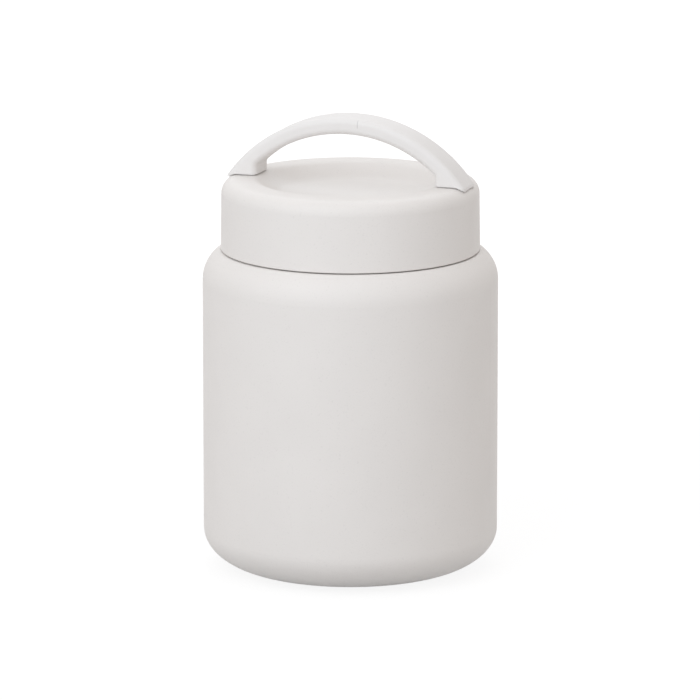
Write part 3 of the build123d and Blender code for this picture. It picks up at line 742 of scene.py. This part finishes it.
def copper_foil():
    material, tree, shader = new_finish("creased_copper", {"Metallic": 1.0})
    place = place_on(tree)
    tarnish = noise(tree, place, TARNISH, detail=5.0, roughness=0.6)
    tarnish = stretch(tree, tarnish, *TARNISH_SPAN)
    tone = mix_colours(tree, tarnish, BRIGHT_COPPER, TARNISHED_COPPER)
    rough = stretch(tree, tarnish, 0.0, 1.0, *FOIL_DULL)
    sockets = {"Vector": place, "Scale": 1 / CREASE}
    creases = add_node(tree, "TexVoronoi", sockets, feature="DISTANCE_TO_EDGE")
    creases = stretch(tree, creases.outputs["Distance"], 0.0, CREASE_WIDTH)
    fine = noise(tree, place, WRINKLE, detail=4.0)
    normal = bumps(tree, (creases, CREASE_HEIGHT), (fine, WRINKLE_HEIGHT))
    finish_with(tree, shader, colour=tone, roughness=rough, normal=normal)
    return material


foil_finish = copper_foil()
print("foil:", foil_finish.name)

# %% Sintered getter
CELL_SPAN = (0.1, 0.6)          # from a cell's middle to its wall, as a share of its size
GETTER_METAL = 0.6
GETTER_PORE_SHADE, GETTER_PALE = paint(0.10, 0.10, 0.105), paint(0.30, 0.295, 0.29)
GETTER_DULL = (0.9, 0.6)
PORE = 0.25 * MM
PORE_DEPTH = 0.03 * MM


def pores(tree, place, size):
    """0 in the middle of each cell and 1 at its wall."""
    sockets = {"Vector": place, "Scale": 1 / size}
    cells = add_node(tree, "TexVoronoi", sockets, feature="F1").outputs["Distance"]
    return stretch(tree, cells, *CELL_SPAN)


def sintered_getter():
    material, tree, shader = new_finish("sintered_getter", {"Metallic": GETTER_METAL})
    place = place_on(tree)
    holes = pores(tree, place, PORE)
    # Painted shade: the colour is darkest in the middle of each pore, where its hollow lies.
    tone = mix_colours(tree, holes, GETTER_PORE_SHADE, GETTER_PALE)
    rough = stretch(tree, holes, 0.0, 1.0, *GETTER_DULL)
    normal = bumps(tree, (holes, PORE_DEPTH))
    finish_with(tree, shader, colour=tone, roughness=rough, normal=normal)
    return material


getter_finish = sintered_getter()
print("getter:", getter_finish.name)

# %% Solder glass
GLASS_CLEAR, GLASS_DARK = paint(0.10, 0.11, 0.09), paint(0.035, 0.04, 0.034)
GLASS_DULL = (0.06, 0.16)
GLASS_CLOUD = 1 * MM
BUBBLE = 0.5 * MM
BUBBLE_DEPTH = 0.01 * MM


def solder_glass():
    material, tree, shader = new_finish("dark_solder_glass", {"IOR": 1.6, "Coat Weight": 0.3})
    place = place_on(tree)
    bubbles = pores(tree, place, BUBBLE)
    tone = mix_colours(tree, bubbles, GLASS_CLEAR, GLASS_DARK)
    rough = stretch(tree, noise(tree, place, GLASS_CLOUD), *NOISE_SPAN, *GLASS_DULL)
    normal = bumps(tree, (bubbles, BUBBLE_DEPTH))
    finish_with(tree, shader, colour=tone, roughness=rough, normal=normal)
    return material


glass_finish = solder_glass()
print("solder glass:", glass_finish.name)

# %% Foam
FOAM_CELL_SHADE, FOAM_PALE = paint(0.66, 0.56, 0.36), paint(0.84, 0.77, 0.58)
FOAM_DULL = (0.95, 0.8)
FOAM_BLOTCH = paint(0.78, 0.66, 0.42)
FOAM_BLOTCH_WIDTH = 12 * MM
FOAM_BLOTCH_SHARE = 0.25
FOAM_UNDER_SKIN = 0.1
FOAM_LIGHT_GOES_IN = (1 * MM, 0.8 * MM, 0.5 * MM)
FOAM_CELL = 0.7 * MM
FOAM_CELL_DEPTH = 0.12 * MM


def lid_foam():
    fixed = {
        "Subsurface Weight": FOAM_UNDER_SKIN,
        "Subsurface Radius": FOAM_LIGHT_GOES_IN,
        "Subsurface Scale": 1.0,
    }
    material, tree, shader = new_finish("closed_cell_foam", fixed)
    place = place_on(tree)
    cells = pores(tree, place, FOAM_CELL)
    blotch = noise(tree, place, FOAM_BLOTCH_WIDTH, detail=3.0)
    blotch = stretch(tree, blotch, *NOISE_SPAN)
    # Painted shade: each cell is darkest in its middle, where its hollow lies, and palest at its
    # walls.
    tone = mix_colours(tree, cells, FOAM_CELL_SHADE, FOAM_PALE)
    blotch = calculate(tree, "MULTIPLY", blotch, FOAM_BLOTCH_SHARE)
    tone = mix_colours(tree, blotch, tone, FOAM_BLOTCH)
    rough = stretch(tree, cells, 0.0, 1.0, *FOAM_DULL)
    normal = bumps(tree, (cells, FOAM_CELL_DEPTH))
    finish_with(tree, shader, colour=tone, roughness=rough, normal=normal)
    return material


foam_finish = lid_foam()
print("foam:", foam_finish.name)

# %% [markdown]
# ## Dress the pieces
#
# One table pairs each piece with its finish. A piece that came with the frame keeps its
# mesh, and only the material in its slots changes.

# %% Give each piece its finish
DRESS = {
    "outer_shell": body_coat,
    "inner_wall": liner_steel,
    "inner_bottom": liner_steel,
    "base_pan": pressed_steel,
    "base_cover": pressed_steel,
    "getter_cup": pressed_steel,
    "vacuum_plug": glass_finish,
    "base_pad": pad_silicone,
    "copper_foil": foil_finish,
    "getter": getter_finish,
    "lid_shell": lid_coat,
    "lid_liner": cap_finish,
    "lid_gasket": gasket_silicone,
    "lid_foam": foam_finish,
    "handle": handle_finish,
    "handle_screws": screw_steel,
    "handle_washers": screw_steel,
}
for node_name, finish in DRESS.items():
    for material_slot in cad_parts[node_name].material_slots:
        material_slot.material = finish
print(len(DRESS), "pieces dressed,", len(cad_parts) - len(DRESS), "left plain")

# %% [markdown]
# ## The weld inside the liner
#
# The liner's tube and its pressed bottom are joined by a weld that runs once round the jar.
# Rolled and polished, it is still proud of the wall by less than a tenth of a millimetre,
# and its ripples show each pulse of the torch. A ring of mesh with a low, rippled crown is
# enough: a groove in a bump map would leave the wall's outline straight.

# %% Weld bead
BEAD_WIDTH = 1.3 * MM
BEAD_CROWN = 0.09 * MM
BEAD_SUNK = 0.04 * MM           # the bead's edges lie this deep in the wall
RIPPLES = 240
RIPPLE_DEPTH = 0.25             # share of the crown that a ripple takes away at each side
RIPPLE_LAG = 0.02               # share of the bead's width by which the ripples lean
STEPS_PER_RIPPLE = 4
BEAD_POINTS = 7
WALL = 0.5 * MM


def weld_bead(name, wall_radius, height):
    """A ring round the axis whose crown faces inwards."""
    ring = bmesh.new()
    steps = RIPPLES * STEPS_PER_RIPPLE
    rows = []
    for step in range(steps):
        turn = 2 * pi * step / steps
        ripple = 1 - RIPPLE_DEPTH + RIPPLE_DEPTH * cos(2 * pi * step / STEPS_PER_RIPPLE)
        row = []
        for point in range(BEAD_POINTS):
            across = point / (BEAD_POINTS - 1)
            arch = sin(pi * across)
            radius = wall_radius - BEAD_CROWN * ripple * arch + BEAD_SUNK * (1 - arch)
            z = height + (across - 0.5 + RIPPLE_LAG * ripple * arch) * BEAD_WIDTH
            row.append(ring.verts.new((radius * cos(turn), radius * sin(turn), z)))
        rows.append(row)
    for step in range(steps):
        this, following = rows[step], rows[(step + 1) % steps]
        for point in range(BEAD_POINTS - 1):
            ring.faces.new(
                (this[point], this[point + 1], following[point + 1], following[point])
            )
        ring.faces.new((this[-1], this[0], following[0], following[-1]))
    bmesh.ops.recalc_face_normals(ring, faces=ring.faces)
    mesh = bpy.data.meshes.new(name)
    ring.to_mesh(mesh)
    ring.free()
    for face in mesh.polygons:
        face.use_smooth = True
    bead = bpy.data.objects.new(name, mesh)
    bpy.context.scene.collection.objects.link(bead)
    return bead


liner_weld = weld_bead("liner_weld", radius_of("inner_bottom") - WALL, liner_joint)
liner_weld.data.materials.append(pressed_steel)
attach(liner_weld, "jar")
print("weld bead:", len(liner_weld.data.vertices), "points")
